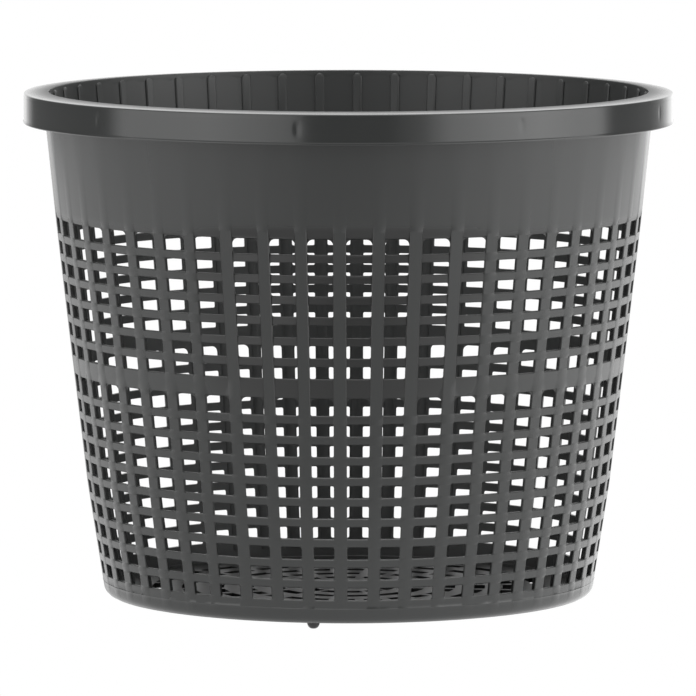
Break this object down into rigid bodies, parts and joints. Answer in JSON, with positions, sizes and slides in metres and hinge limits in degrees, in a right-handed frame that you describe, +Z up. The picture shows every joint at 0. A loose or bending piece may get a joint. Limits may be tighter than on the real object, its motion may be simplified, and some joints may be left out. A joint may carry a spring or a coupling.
{
  "type": "pond planting basket",
  "caption": "Round tapered mesh basket, moulded in one piece, with a turned-down rim, for planting in a pond.",
  "frame": {"origin": "centre of the circle the feet stand on, at the bottom of the bounding box", "axes": "+Z up along the basket's axis, -Y to the front of the picture, +X to its right"},
  "size_m": [0.26, 0.26, 0.2048],
  "materials": {
    "basket_plastic": "dark grey polypropylene, semi-gloss as moulded"
  },
  "bodies": {
    "root": {"basket": "basket_plastic"}
  },
  "joints": []
}
